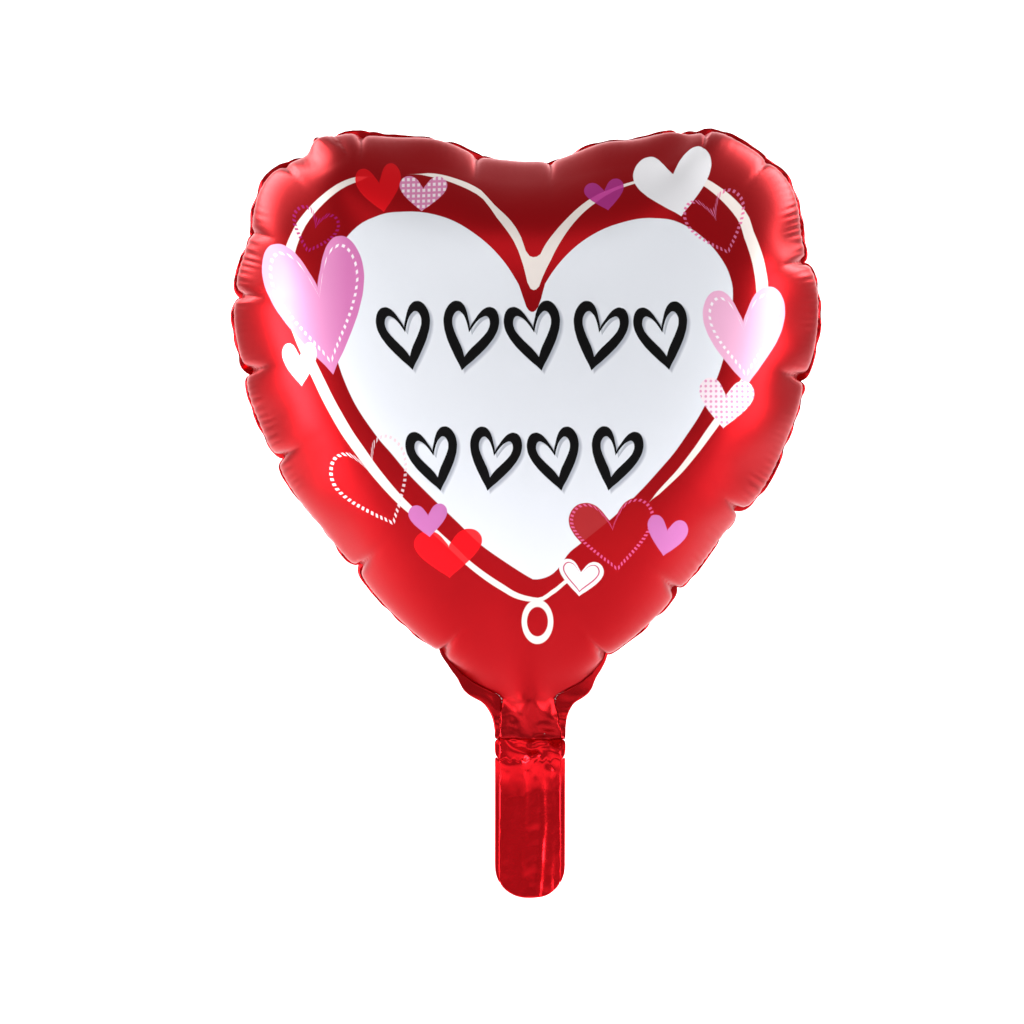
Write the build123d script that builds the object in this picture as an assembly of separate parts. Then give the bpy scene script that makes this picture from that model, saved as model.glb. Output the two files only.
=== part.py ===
"""Heart-shaped foil balloon, inflated, with its tail and its self-sealing valve.

Millimetres. +Z is up, the printed front faces -Y, and +X is to the right of someone who
looks at the front. The origin is the middle of the neck, just under the heart's tip, where
the tail folds and where the ribbon is tied. The film is thicker here than on the real
balloon, so that each ply is a solid that meshes well.
"""
from build123d import *
from math import cos, radians, sin
import os

# ---- Driving dimensions ----------------------------------------------------------------
BODY_DEPTH = 166.0            # front to back of the inflated heart
SEAM_WIDTH = 6.0              # the welded flange round the heart
PANEL_FILM = 0.8              # one ply of the heart
TAIL_FILM = 0.4               # one ply of the neck and tail
VALVE_FILM = 0.35             # one ply of the clear valve
VALVE_GAP = 0.2               # between the two valve plies, filled by their welds
VALVE_HALF_WIDTH = 12.0
VALVE_TOP = 118.0             # where the valve ends inside the heart
VALVE_WELD = 3.0              # width of each side weld of the valve
RELEASE_COAT = (16.0, 0.1, 14.0)   # heat-resisting print that keeps the channel open
RELEASE_COAT_BOTTOM = 5.0
NECK_HALF_WIDTH = 21.5        # over the side seams
TAIL_HALF_WIDTH = 22.6        # over the side seams, at the mouth
SIDE_SEAM = 3.0               # the welded strip along each side of the neck and tail
FOLD_GAP = 1.3                # bare film on each side of a fold line
TACK_LINE = -17.0             # the tail folds here, at the row of tack welds
TAIL_END = -96.0
MOUTH_CORNER = 20.0           # the tail's rounded bottom corners

# The outer edge of the flange, right half, from the cleft down to the tip (X, Z).
HEART_EDGE = [(0, 376), (50, 387), (92, 397), (145, 382), (176, 347), (188, 285),
              (180, 235), (165, 191), (128, 133), (71, 79), (36, 46), (13, 19), (0, 10)]
HEART_CENTRE = (0.0, 235.0)   # the level lines of the pillow close in on this point

# The bare web that runs from the heart's lower sides into the neck, right half (X, Z).
WEB_EDGE = [(54, 61), (39, 44), (29, 32), (23, 19)]

# ---- Fixed by the choices above --------------------------------------------------------
SEAM_HALF = PANEL_FILM / 2
VALVE_HALF = VALVE_FILM + VALVE_GAP / 2
RIM_SAMPLES = 44              # points on each level line of the pillow
PILLOW_POWER = 2.3            # above 2, the pillow is flatter in front and rounder at its rim
LEVELS = (0, 14, 28, 42, 56, 69, 80)   # where the level lines lie, in degrees up the rim


def in_front(x, z, y=0.0):
    """A point of a drawing seen from the front, at depth y."""
    return Vector(x, y, z)


def heart_edge_curve():
    right = [in_front(x, z) for x, z in HEART_EDGE]
    left = [in_front(-x, z) for x, z in HEART_EDGE[-2:0:-1]]
    return Spline(*right, *left, periodic=True)


def edge_points(inset):
    """Points round the heart, the given distance inside the flange's outer edge."""
    curve = heart_edge_curve()
    points = []
    for i in range(RIM_SAMPLES):
        at, along = curve @ (i / RIM_SAMPLES), curve % (i / RIM_SAMPLES)
        inward = Vector(along.Z, 0, -along.X)
        if inward.dot(in_front(*HEART_CENTRE) - at) < 0:
            inward = -inward
        points.append(at + inward * inset)
    return points


def level_line(points, share, y):
    """The rim shrunk to a share of its size. It turns from a heart to an oval as it shrinks."""
    centre = in_front(*HEART_CENTRE)
    spokes = [p - centre for p in points]
    oval = sum(s.length for s in spokes) / len(spokes)
    heartness = share ** 1.5
    line = []
    for s in spokes:
        reach = share * (heartness * s.length + (1 - heartness) * oval)
        p = centre + s.normalized() * reach
        line.append(in_front(p.X, p.Z, y))
    return Wire([Spline(*line, periodic=True)])


def half_pillow(inset, height, side):
    """One solid half of the inflated heart; side is -1 for the front and 1 for the rear."""
    points = edge_points(inset)
    lines = []
    for level in LEVELS:
        share = cos(radians(level)) ** (2 / PILLOW_POWER)
        lines.append(level_line(points, share, side * (SEAM_HALF + height * sin(radians(level)))))
    return Solid.make_loft(lines)


def valve_room(margin=0.06):
    """The space that the flat valve takes where it passes the seam."""
    size = (2 * (VALVE_HALF_WIDTH + margin), 2 * (VALVE_HALF + margin), VALVE_TOP)
    return Pos(0, 0, VALVE_TOP / 2) * Box(*size)


def foil_panel(side):
    height = BODY_DEPTH / 2 - SEAM_HALF
    outer = half_pillow(SEAM_WIDTH, height, side)
    inner = half_pillow(SEAM_WIDTH + PANEL_FILM, height - PANEL_FILM, side)
    return outer - inner - valve_room()


def flat_ply(wire, y_low, y_high):
    """A flat piece with the outline of wire, which lies in the plane y = 0."""
    face = Face(wire)
    return Pos(0, y_low, 0) * Solid.extrude(face, Vector(0, y_high - y_low, 0))


def closed_spline(points):
    return Wire([Spline(*points, periodic=True)])


def perimeter_seam():
    """The flange: both plies welded together all round the heart."""
    outer = flat_ply(closed_spline(edge_points(0)), -SEAM_HALF, SEAM_HALF)
    inner = flat_ply(closed_spline(edge_points(SEAM_WIDTH + PANEL_FILM)), -SEAM_HALF, SEAM_HALF)
    return outer - inner - valve_room()


def neck_web(side):
    """One ply of the web between the heart's lower sides and the neck."""
    right = [in_front(x, z) for x, z in WEB_EDGE]
    left = [in_front(-x, z) for x, z in WEB_EDGE]
    foot = in_front(NECK_HALF_WIDTH, FOLD_GAP)
    mirror_foot = in_front(-NECK_HALF_WIDTH, FOLD_GAP)
    top = in_front(0, WEB_EDGE[0][1])
    outline = Wire([
        Spline(*right), Line(right[-1], foot), Line(foot, mirror_foot),
        Line(mirror_foot, left[-1]), Spline(*left), Line(left[0], top), Line(top, right[0])])
    low, high = sorted((side * VALVE_HALF, side * (VALVE_HALF + TAIL_FILM)))
    heart = flat_ply(closed_spline(edge_points(-0.05)), low - 1, high + 1)
    return flat_ply(outline, low, high) - heart


def lens(z, half_width, bulge, side):
    """The section of one bowed ply at height z: its inner face stands bulge off the middle."""
    near = [Vector(-half_width, 0, z), Vector(0, side * bulge, z), Vector(half_width, 0, z)]
    shift = Vector(0, side * TAIL_FILM, 0)
    far = [p + shift for p in near]
    return Wire([
        ThreePointArc(*near), Line(near[2], far[2]), ThreePointArc(*reversed(far)), Line(far[0], near[0])])


def width_at(z):
    """Half the width of the neck and tail over their seams, which widens to the mouth."""
    return NECK_HALF_WIDTH + (TAIL_HALF_WIDTH - NECK_HALF_WIDTH) * z / TAIL_END


def bowed_ply(stations, side):
    """One ply of the neck or tail, through (height, bulge) stations."""
    return Solid.make_loft([lens(z, width_at(z) - SIDE_SEAM, bulge, side) for z, bulge in stations])


def side_seams(top, bottom):
    """The two welded strips along the sides of the neck or tail."""
    strips = []
    for hand in (-1, 1):
        corners = [(width_at(top) - SIDE_SEAM, top), (width_at(top), top),
                   (width_at(bottom), bottom), (width_at(bottom) - SIDE_SEAM, bottom)]
        wire = Wire.make_polygon([in_front(hand * x, z) for x, z in corners])
        strips.append(flat_ply(wire, -TAIL_FILM, TAIL_FILM))
    return strips


def mouth_cutter():
    """Everything inside the tail's outline, with its rounded bottom corners."""
    height = 2 * abs(TAIL_END)
    profile = RectangleRounded(2 * TAIL_HALF_WIDTH, height, MOUTH_CORNER)
    block = extrude(Plane.XZ * profile, BODY_DEPTH / 2, both=True)
    return Pos(0, 0, TAIL_END + height / 2) * block


def valve_film(side, bottom, top):
    centre = side * (VALVE_GAP + VALVE_FILM) / 2
    return Pos(0, centre, (bottom + top) / 2) * Box(2 * VALVE_HALF_WIDTH, VALVE_FILM, top - bottom)


def valve_welds(bottom, top):
    x = VALVE_HALF_WIDTH - VALVE_WELD / 2
    return [Pos(hand * x, 0, (bottom + top) / 2) * Box(VALVE_WELD, VALVE_GAP, top - bottom)
            for hand in (-1, 1)]


def release_coat():
    width, film, height = RELEASE_COAT
    return Pos(0, (film - VALVE_GAP) / 2, RELEASE_COAT_BOTTOM + height / 2) * Box(width, film, height)


def save(name, *solids):
    shape = solids[0] if len(solids) == 1 else Compound(children=list(solids))
    export_step(shape, f"parts/{name}.step")


def build_heart():
    save("front_foil_panel", foil_panel(-1))
    save("rear_foil_panel", foil_panel(1))
    save("perimeter_seam", perimeter_seam())
    save("front_neck_web", neck_web(-1))
    save("rear_neck_web", neck_web(1))
    save("valve_front_film", valve_film(-1, FOLD_GAP, VALVE_TOP))
    save("valve_rear_film", valve_film(1, FOLD_GAP, VALVE_TOP))
    save("valve_side_welds", *valve_welds(FOLD_GAP, VALVE_TOP))
    save("valve_release_coat", release_coat())


def build_neck():
    top, bottom = -FOLD_GAP, TACK_LINE + FOLD_GAP
    stations = [(top, 0.8), ((top + bottom) / 2, 1.7), (bottom, 0.8)]
    save("neck_front_ply", bowed_ply(stations, -1))
    save("neck_rear_ply", bowed_ply(stations, 1))
    save("neck_side_seams", *side_seams(top, bottom))
    save("valve_inlet_front_film", valve_film(-1, bottom, top))
    save("valve_inlet_rear_film", valve_film(1, bottom, top))
    save("valve_inlet_side_welds", *valve_welds(bottom, top))


def build_tail():
    top = TACK_LINE - FOLD_GAP
    stations = [(top, 0.8), (-36, 3.6), (-62, 5.0), (TAIL_END - 1, 4.4)]
    for name, side in (("tail_front_ply", -1), ("tail_rear_ply", 1)):
        save(name, bowed_ply(stations, side) & mouth_cutter())
    save("tail_side_seams", *[strip & mouth_cutter() for strip in side_seams(top, TAIL_END)])


os.makedirs("parts", exist_ok=True)
build_heart()
build_neck()
build_tail()
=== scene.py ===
"""Visual model of the heart-shaped foil balloon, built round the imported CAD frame.

The film is cut flat, welded along its seam and blown up by a small spring simulation, which gives
the pillow. Its creases, fine pleats, ruffled flange and crumples are added to that. Lengths in the
pattern and the print are in millimetres; the meshes are in metres.
"""
import math

import bpy
import numpy as np
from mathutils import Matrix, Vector
from mathutils.geometry import delaunay_2d_cdt


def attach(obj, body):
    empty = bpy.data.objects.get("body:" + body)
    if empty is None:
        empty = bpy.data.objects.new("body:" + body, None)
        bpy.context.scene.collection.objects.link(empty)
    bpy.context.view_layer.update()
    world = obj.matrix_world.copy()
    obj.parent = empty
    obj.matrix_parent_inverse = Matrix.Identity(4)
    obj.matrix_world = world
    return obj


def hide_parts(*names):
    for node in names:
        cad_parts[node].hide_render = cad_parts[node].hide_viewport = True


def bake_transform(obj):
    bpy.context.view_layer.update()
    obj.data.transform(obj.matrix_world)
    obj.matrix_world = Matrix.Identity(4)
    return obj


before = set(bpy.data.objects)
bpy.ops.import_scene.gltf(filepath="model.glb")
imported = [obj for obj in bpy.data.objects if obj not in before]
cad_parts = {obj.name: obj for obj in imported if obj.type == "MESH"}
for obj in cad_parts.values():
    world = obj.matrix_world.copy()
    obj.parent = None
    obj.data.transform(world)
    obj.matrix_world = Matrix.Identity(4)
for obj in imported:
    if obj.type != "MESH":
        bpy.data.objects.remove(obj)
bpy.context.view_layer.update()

# ---- The flat pattern, in millimetres (X to the right, Z up) ---------------------------
# The heart's seam, right half, from the cleft down to the neck. All but the last four points came
# from a fitting program and were then rounded.
HEART_SEAM = [(0, 383), (27, 384.5), (58, 388.5), (94, 390), (126, 391), (143, 381), (169, 364),
              (186, 340.5), (200, 300.5), (206.5, 263), (203, 221), (193, 184), (171, 136),
              (135.5, 90), (97, 51), (64, 26), (41, 10), (28, 5)]
PATTERN_DROP = 29.0           # the heart shortens as it fills, so the flat neck starts lower
NECK_INNER = 19.5             # half the width between the side seams
NECK_TOP = 30.0 - PATTERN_DROP
NECK_LINE = 6.0 - PATTERN_DROP
NECK_LINE_AFTER = 6.0         # where the neck line is once the heart is full
FLANGE = 6.0
FLANGE_AT_NECK = 9.0
TAIL_OUTER = 22.5
TAIL_BOTTOM = -98.0 - PATTERN_DROP
TAIL_CORNER = 20.0
GRID = 5.0                    # spacing of the simulated mesh

# ---- The simulation --------------------------------------------------------------------
STIFFNESS = 40000.0
SLACK_SHARE = 0.1             # film in compression buckles below the mesh's scale
BEND_SHARE = 0.03
HEART_PRESSURE = 0.6
TAIL_PRESSURE = 0.004
TIME_STEP = 0.006
FILLING = ((1400, 0.01), (200, 0.03))     # steps and drag of each stage
CALM_STEPS = (0.6, -0.62)      # a smoothing step and the one that undoes its shrinking
CALM_ROUNDS = (300, 150)      # along the seam, and over the film
FULLNESS = 1.16               # how much deeper the full heart is than the simulated one

WELDED, FRONT, REAR, TAIL_FRONT, TAIL_REAR = range(5)


# ---- Flat pattern ----------------------------------------------------------------------
def smooth_line(points, spacing):
    """An even row of points along a smooth curve through points."""
    p = np.array(points, float)
    rows = []
    for i in range(len(p) - 1):
        p1, p2 = p[i], p[i + 1]
        p0 = p[i - 1] if i > 0 else 2 * p1 - p2
        p3 = p[i + 2] if i + 2 < len(p) else 2 * p2 - p1
        d1, d2, d3 = [max(np.linalg.norm(b - a) ** 0.5, 1e-6) for a, b in ((p0, p1), (p1, p2), (p2, p3))]
        m1 = p2 - p1 + d2 * ((p1 - p0) / d1 - (p2 - p0) / (d1 + d2))
        m2 = p2 - p1 + d2 * ((p3 - p2) / d3 - (p3 - p1) / (d2 + d3))
        t = np.linspace(0, 1, 40, endpoint=False)[:, None]
        rows.append((2*t**3 - 3*t**2 + 1)*p1 + (t**3 - 2*t**2 + t)*m1
                    + (3*t**2 - 2*t**3)*p2 + (t**3 - t**2)*m2)
    line = np.concatenate(rows + [p[-1:]])
    along = np.concatenate([[0], np.cumsum(np.linalg.norm(np.diff(line, axis=0), axis=1))])
    at = np.linspace(0, along[-1], max(2, round(along[-1] / spacing)) + 1)
    return [tuple(q) for q in np.stack([np.interp(at, along, line[:, k]) for k in (0, 1)], axis=1)]


def straight(a, b, spacing=GRID):
    count = max(1, round(math.dist(a, b) / spacing))
    return [tuple(np.array(a) + (np.array(b) - np.array(a)) * i / count) for i in range(count + 1)]


def mirrored(points):
    return [(-x, z) for x, z in points[::-1]]


def heart_side():
    return smooth_line(HEART_SEAM + [(NECK_INNER, NECK_TOP)], GRID)


def heart_loop():
    """The seam round the heart and across the neck, from the cleft clockwise."""
    down = straight((NECK_INNER, NECK_TOP), (NECK_INNER, NECK_LINE))[1:]
    across = straight((NECK_INNER, NECK_LINE), (-NECK_INNER, NECK_LINE))[1:-1]
    right = heart_side() + down
    return right + across + mirrored(right)[:-1]


def sheet_loop():
    """The cut edge of the sheet: the flange, the webs beside the neck, and the tail."""
    side = np.array(heart_side())
    run = np.gradient(side, axis=0)
    run /= np.linalg.norm(run, axis=1)[:, None]
    outward = np.stack([-run[:, 1], run[:, 0]], axis=1)
    near_neck = np.clip((100 - side[:, 0]) / 60, 0, 1) * (side[:, 1] < 150)
    edge = side + outward * (FLANGE + (FLANGE_AT_NECK - FLANGE) * near_neck)[:, None]
    edge[0, 0] = 0.0
    flange = [tuple(q) for q in edge if q[0] > 31 or q[1] > 120]
    shoulder_foot = (TAIL_OUTER, -6 - PATTERN_DROP)
    shoulder = smooth_line([flange[-1], (25, 17 - PATTERN_DROP), shoulder_foot], GRID)[1:]
    corner_top = (TAIL_OUTER, TAIL_BOTTOM + TAIL_CORNER)
    tail = straight(shoulder_foot, corner_top)[1:]
    corner = [(TAIL_OUTER - TAIL_CORNER * (1 - math.cos(a)), TAIL_BOTTOM + TAIL_CORNER * (1 - math.sin(a)))
              for a in np.linspace(0, math.pi / 2, 9)][1:]
    bottom = straight(corner[-1], (-corner[-1][0], TAIL_BOTTOM))[1:-1]
    right = flange + shoulder + tail + corner
    return right + bottom + mirrored(right)[:-1]


def inside(loop, points):
    x, z = points[:, 0], points[:, 1]
    result = np.zeros(len(points), bool)
    for (xi, zi), (xj, zj) in zip(loop, loop[-1:] + loop[:-1]):
        if zi != zj:
            result ^= ((zi > z) != (zj > z)) & (x < (xj - xi) * (z - zi) / (zj - zi) + xi)
    return result


def gap_to(line, points):
    """The distance of each point from the nearest point of a line."""
    line = np.array(line)
    gap = np.full(len(points), 1e9)
    for i in range(0, len(line), 64):
        apart = points[:, None] - line[None, i:i + 64]
        gap = np.minimum(gap, np.sqrt((apart ** 2).sum(2)).min(1))
    return gap


def flat_mesh():
    """The sheet as triangles whose edges follow the seams."""
    seam, sheet = heart_loop(), sheet_loop()
    tail_part = [i for i, (x, z) in enumerate(sheet) if z < TAIL_BOTTOM + 50]
    ends = [min((i for i in tail_part if sheet[i][0] * hand > 0),
                key=lambda i: abs(abs(sheet[i][0]) - NECK_INNER))
            for hand in (1, -1)]
    side = straight((NECK_INNER, NECK_LINE), (NECK_INNER, sheet[ends[0]][1] + 3))[1:]
    sides = side + [(-x, z) for x, z in side]
    fixed = seam + sheet + sides
    a, b = len(seam), len(seam) + len(sheet)
    edges = [(i, (i + 1) % a) for i in range(a)]
    edges += [(a + i, a + (i + 1) % len(sheet)) for i in range(len(sheet))]
    for hand, start, end in ((1, b, ends[0]), (-1, b + len(side), ends[1])):
        corner = min(range(a), key=lambda i: math.dist(seam[i], (hand * NECK_INNER, NECK_LINE)))
        chain = [corner, *range(start, start + len(side)), a + end]
        edges += list(zip(chain, chain[1:]))

    columns = np.arange(-60, 61) * GRID
    rows = []
    for k, z in enumerate(np.arange(TAIL_BOTTOM - 4, 470, GRID * math.sqrt(3) / 2)):
        rows.append(np.stack([columns + (GRID / 2 if k % 2 else 0), np.full(len(columns), z)], axis=1))
    grid = np.concatenate(rows)
    grid = grid[inside(sheet, grid)]
    grid = grid[gap_to(fixed, grid) > 0.62 * GRID]
    points = np.concatenate([np.array(fixed), grid])
    for _ in range(7):
        found, _, faces, *_ = delaunay_2d_cdt([Vector(p) for p in points.tolist()], edges, [], 0, 1e-6)
        if len(found) != len(points):
            raise RuntimeError("two outlines of the flat pattern cross")
        tris = np.array([t for t in faces if len(t) == 3])
        links = edge_index(tris)[0]
        total, count = np.zeros_like(points), np.zeros(len(points))
        for one, other in ((0, 1), (1, 0)):
            np.add.at(total, links[:, one], points[links[:, other]])
            np.add.at(count, links[:, one], 1)
        settled = points + 0.5 * (total / count[:, None] - points)
        last, points = points, np.concatenate([points[:len(fixed)], settled[len(fixed):]])
    points = last

    middle = points[tris].mean(axis=1)
    tris = tris[inside(sheet, middle)]
    middle = points[tris].mean(axis=1)
    in_heart = inside(seam, middle)
    in_tail = ~in_heart & (middle[:, 1] < NECK_LINE) & (abs(middle[:, 0]) < NECK_INNER)
    one, two = points[tris[:, 1]] - points[tris[:, 0]], points[tris[:, 2]] - points[tris[:, 0]]
    backward = one[:, 0] * two[:, 1] < one[:, 1] * two[:, 0]
    tris[backward] = tris[backward][:, ::-1]
    return points, tris, in_heart, in_tail


def edge_index(tris):
    """The edges, which edge each triangle side is, and how many triangles each edge has."""
    pairs = np.sort(np.concatenate([tris[:, [0, 1]], tris[:, [1, 2]], tris[:, [2, 0]]]), axis=1)
    edges, which, uses = np.unique(pairs, axis=0, return_inverse=True, return_counts=True)
    return edges, which.reshape(3, -1).T, uses


def two_layers(points, tris, in_heart, in_tail):
    """Doubles the film where it is not welded. Returns flat places, layers, triangles and regions."""
    welded = ~(in_heart | in_tail)
    shared = np.zeros(len(points), bool)
    shared[tris[welded].ravel()] = True
    of_heart, of_tail = np.zeros(len(points), bool), np.zeros(len(points), bool)
    of_heart[tris[in_heart].ravel()] = True
    of_tail[tris[in_tail].ravel()] = True
    doubled = ~(shared | (of_heart & of_tail))
    twin = np.arange(len(points))
    twin[doubled] = len(points) + np.arange(doubled.sum())
    flat = np.concatenate([points, points[doubled]])
    layer = np.zeros(len(flat))
    layer[:len(points)][doubled] = -1
    layer[len(points):] = 1
    free = tris[~welded]
    heart = in_heart[~welded]
    region = np.concatenate([np.where(heart, FRONT, TAIL_FRONT), np.where(heart, REAR, TAIL_REAR),
                             np.full(welded.sum(), WELDED)])
    return flat, layer, np.concatenate([free, twin[free][:, ::-1], tris[welded]]), region


# ---- Blowing it up ---------------------------------------------------------------------
def opposite_corners(tris):
    """Pairs of points that face each other across an edge, for the film's stiffness in bending."""
    half = np.concatenate([tris[:, [0, 1, 2]], tris[:, [1, 2, 0]], tris[:, [2, 0, 1]]])
    key = np.sort(half[:, :2], axis=1)
    order = np.lexsort((key[:, 1], key[:, 0]))
    key, corner = key[order], half[order, 2]
    same = (key[1:] == key[:-1]).all(axis=1)
    return np.stack([corner[:-1][same], corner[1:][same]], axis=1)


def gathered(index, forces, count):
    return np.stack([np.bincount(index, forces[:, k], count) for k in range(3)], axis=1)


def inflate(flat, layer, tris, region):
    """Springs along every edge, pressure on every free face, and damping until it comes to rest."""
    count = len(flat)
    heart = (region == FRONT) | (region == REAR)
    tail = (region == TAIL_FRONT) | (region == TAIL_REAR)
    in_heart = np.zeros(count, bool)
    in_heart[tris[heart].ravel()] = True
    gap = gap_to(heart_loop(), flat)
    open_by = np.where(in_heart, 25 * gap / gap[in_heart].max() + 0.5, 1.0)
    x = np.stack([flat[:, 0], layer * open_by, flat[:, 1]], axis=1)
    x += np.random.default_rng(5).normal(0, 0.1, x.shape)
    pinned = (abs(flat[:, 1] - NECK_LINE) < 1) & (abs(flat[:, 0]) < NECK_INNER + 1)
    x[:, 2] += NECK_LINE_AFTER - x[pinned, 2].mean()
    x[pinned, 1] = 0

    edge = edge_index(tris)[0]
    length = np.linalg.norm(flat[edge[:, 0]] - flat[edge[:, 1]], axis=1)
    across = opposite_corners(tris)
    span = np.linalg.norm(flat[across[:, 0]] - flat[across[:, 1]], axis=1)
    across, span = across[span > 0.5], span[span > 0.5]
    edge_ends, across_ends, corners = edge.T.ravel(), across.T.ravel(), tris.T.ravel()
    mass = np.bincount(edge_ends, np.tile(1 / length, 2), count)
    mass = (mass / mass.mean())[:, None]
    push = ((HEART_PRESSURE * heart + TAIL_PRESSURE * tail) / 6)[:, None]
    speed = np.zeros_like(x)
    for steps, drag in FILLING:
        for _ in range(steps):
            d = x[edge[:, 1]] - x[edge[:, 0]]
            now = np.sqrt((d * d).sum(axis=1))
            strain = now / length - 1
            pull = (np.where(strain > 0, STIFFNESS, STIFFNESS * SLACK_SHARE) * strain / now)[:, None] * d
            force = gathered(edge_ends, np.concatenate([pull, -pull]), count)
            d = x[across[:, 1]] - x[across[:, 0]]
            now = np.sqrt((d * d).sum(axis=1)) + 1e-9
            pull = (STIFFNESS * BEND_SHARE * (now / span - 1) / now)[:, None] * d
            force += gathered(across_ends, np.concatenate([pull, -pull]), count)
            a, b, c = x[tris[:, 0]], x[tris[:, 1]], x[tris[:, 2]]
            blow = np.cross(b - a, c - a) * push
            force += gathered(corners, np.concatenate([blow, blow, blow]), count)
            speed = (speed + TIME_STEP * force / mass) * (1 - drag)
            speed[pinned] = 0
            x = x + TIME_STEP * speed
    return x


def ramp(value, low, high):
    """0 below low, 1 above high, and smooth between them."""
    t = np.clip((value - low) / (high - low), 0, 1)
    return t * t * (3 - 2 * t)


def calm(x, tris, seam):
    """Takes the short ripples out of the heart, first along the seam and then over the film."""
    x = x.copy()
    edge = edge_index(tris)[0]
    ends, others = edge.T.ravel(), edge[:, ::-1].T.ravel()
    valence = np.bincount(ends, minlength=len(x))[:, None]
    share = ramp(x[:, 2], 26, 60)[:, None]
    on_seam = np.zeros(len(x), bool)
    on_seam[seam] = True
    for step in CALM_STEPS * CALM_ROUNDS[0]:
        line = x[seam]
        between = (np.roll(line, 1, axis=0) + np.roll(line, -1, axis=0)) / 2
        x[seam] += step * share[seam] * (between - line)
    share[on_seam] = 0
    for step in CALM_STEPS * CALM_ROUNDS[1]:
        x += step * share * (gathered(ends, x[others], len(x)) / valence - x)
    return x


# ---- Finer meshes for the pieces -------------------------------------------------------
def quartered(tris, halves):
    """Each triangle as four, given the new points on its three edges."""
    a, b, c = tris.T
    ab, bc, ca = halves.T
    return [np.stack(t, axis=1) for t in ((a, ab, ca), (ab, b, bc), (ca, bc, c), (ab, bc, ca))]


def subdivide(x, flat, tris, corner):
    """One round of Loop's subdivision. Marked corners stay where they are."""
    edges, which, uses = edge_index(tris)
    rim = uses == 1
    facing = np.zeros((len(edges), 3))
    for side, opposite in ((0, 2), (1, 0), (2, 1)):
        np.add.at(facing, which[:, side], x[tris[:, opposite]])
    ends = x[edges[:, 0]] + x[edges[:, 1]]
    middle = np.where(rim[:, None], ends / 2, 0.375 * ends + 0.125 * facing)
    total, valence = np.zeros_like(x), np.zeros(len(x))
    rim_total, rim_valence = np.zeros_like(x), np.zeros(len(x))
    for one, other in ((0, 1), (1, 0)):
        np.add.at(total, edges[:, one], x[edges[:, other]])
        np.add.at(valence, edges[:, one], 1)
        np.add.at(rim_total, edges[rim][:, one], x[edges[rim][:, other]])
        np.add.at(rim_valence, edges[rim][:, one], 1)
    share = (0.375 / np.maximum(valence, 1))[:, None]
    moved = (1 - share * valence[:, None]) * x + share * total
    on_rim = rim_valence == 2
    moved[on_rim] = 0.75 * x[on_rim] + 0.125 * rim_total[on_rim]
    fixed = corner | (rim_valence > 2)
    moved[fixed] = x[fixed]
    finer = np.concatenate(quartered(tris, len(x) + which))
    flat_middle = (flat[edges[:, 0]] + flat[edges[:, 1]]) / 2
    return (np.concatenate([moved, middle]), np.concatenate([flat, flat_middle]), finer,
            np.concatenate([corner, np.zeros(len(edges), bool)]))


def split_where(x, flat, tris, wanted):
    """Halves the edges between wanted points, and leaves the rest of the mesh as it is."""
    edges, which, _ = edge_index(tris)
    cut = wanted[edges[:, 0]] & wanted[edges[:, 1]]
    number = np.full(len(edges), -1)
    number[cut] = len(x) + np.arange(cut.sum())
    halves = number[which]
    parts = [tris[(halves < 0).all(axis=1)]]
    whole = (halves >= 0).all(axis=1)
    parts += quartered(tris[whole], halves[whole])
    for turn in range(3):
        a, b, c = np.roll(tris, -turn, axis=1).T
        ab, bc, ca = np.roll(halves, -turn, axis=1).T
        only = (ab >= 0) & (bc < 0) & (ca < 0)
        parts += [np.stack(t, axis=1)[only] for t in ((a, ab, c), (ab, b, c))]
        two = (ab >= 0) & (bc >= 0) & (ca < 0)
        parts += [np.stack(t, axis=1)[two] for t in ((ab, b, bc), (a, ab, bc), (a, bc, c))]
    both = [np.concatenate([p, (p[edges[cut][:, 0]] + p[edges[cut][:, 1]]) / 2]) for p in (x, flat)]
    return both[0], both[1], np.concatenate(parts)


def point_normals(x, tris):
    a, b, c = x[tris[:, 0]], x[tris[:, 1]], x[tris[:, 2]]
    total = gathered(tris.T.ravel(), np.tile(np.cross(b - a, c - a), (3, 1)), len(x))
    return total / (np.linalg.norm(total, axis=1)[:, None] + 1e-12)


# ---- Creases and pleats at the rim -----------------------------------------------------
HEART_CENTRE = (0.0, 235.0)
# Where the deep creases meet the seam of the full heart, with their depth.
CREASES = [(-186, 290, 1.0), (-180, 237, 1.2), (-152, 188, 1.2), (-105, 120, 1.0), (-49, 69, 0.9),
           (-180, 330, 0.5), (-154, 374, 0.5), (-100, 394, 0.9), (-31, 374, 0.8), (13, 374, 0.8),
           (109, 394, 0.9), (153, 376, 0.5), (185, 315, 1.0), (175, 236, 1.2), (135, 154, 1.2),
           (97, 104, 1.0), (49, 60, 0.9)]
CREASE_INWARD = 3.4           # how far a crease pulls the seam in
CREASE_SINK = 3.9             # how far it sinks into the panel
CREASE_WIDTH = 2.6
CREASE_LENGTH = 34.0
SCALLOP = 1.8                 # how far the film bulges between two creases
TUCK = 0.4                    # how deep the seam lies between the two bulging rims
SWELL = 6.4                   # how far each rim bulges past it
PLEAT_LENGTH = 5.2            # from one fine pleat to the next
PLEAT_HEIGHT = 0.34
# Where the lobes are filled out: a place on the seam, by how much, and over what length.
SHOULDERS = [(-130, 385, 9.0, 13), (-52, 386, 4.5, 28), (44, 384, 4.0, 20), (84, 389, 8.5, 17)]
PLEATED = [(-185, 312), (-150, 196), (-166, 215), (186, 300), (178, 330), (112, 124), (140, 165)]
FINE_RIM = 34.0               # how far in from the seam the mesh is at its finest
FLANGE_SLANT = 0.25           # how far the flange leans to the rear, in radians
FLANGE_SWAY = 0.6             # how much that changes along it


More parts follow.
